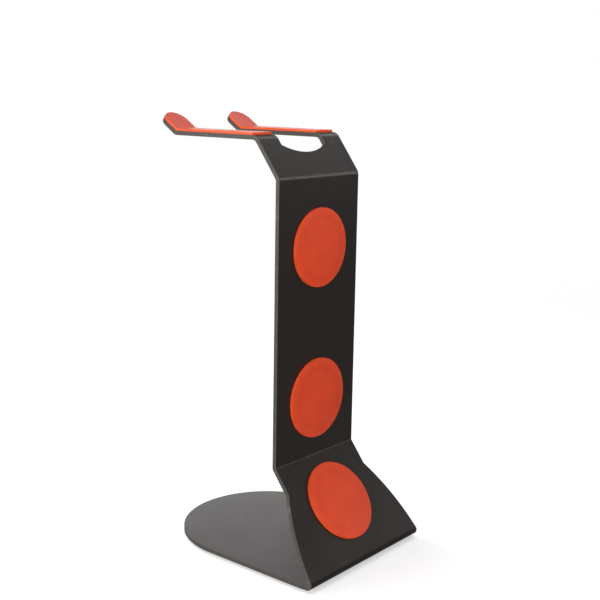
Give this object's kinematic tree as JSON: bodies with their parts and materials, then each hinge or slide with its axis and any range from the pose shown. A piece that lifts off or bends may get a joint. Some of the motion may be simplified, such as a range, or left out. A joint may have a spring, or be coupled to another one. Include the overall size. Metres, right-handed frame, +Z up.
{
  "type": "hair dryer holder",
  "caption": "Free-standing hair dryer holder folded from one black metal sheet, with a two-pronged padded shelf for the dryer and orange silicone discs on the front for magnetic attachments.",
  "frame": {"origin": "middle of the bounding box's bottom face, on the table plane that the four feet stand on", "axes": "+Z is up, +X runs across the holder, and -Y is the front, where the discs for the attachments face; the base and the prongs reach back along +Y"},
  "size_m": [0.123, 0.1598, 0.3016],
  "materials": {
    "powder_coat": "satin warm black powder coat on steel sheet, with a fine grain",
    "orange_silicone": "smooth orange silicone, slightly glossy",
    "mounting_tape": "double-sided mounting tape",
    "foot_rubber": "matte black rubber"
  },
  "bodies": {
    "root": {"stand_frame": "powder_coat", "shelf_pad_left": "orange_silicone", "shelf_pad_right": "orange_silicone", "upper_disc_pad": "orange_silicone", "middle_disc_pad": "orange_silicone", "lower_disc_pad": "orange_silicone", "shelf_pad_left_tape": "mounting_tape", "shelf_pad_right_tape": "mounting_tape", "upper_disc_pad_tape": "mounting_tape", "middle_disc_pad_tape": "mounting_tape", "lower_disc_pad_tape": "mounting_tape", "foot_front_left_tape": "mounting_tape", "foot_front_right_tape": "mounting_tape", "foot_back_left_tape": "mounting_tape", "foot_back_right_tape": "mounting_tape", "foot_front_left": "foot_rubber", "foot_front_right": "foot_rubber", "foot_back_left": "foot_rubber", "foot_back_right": "foot_rubber"}
  },
  "joints": []
}
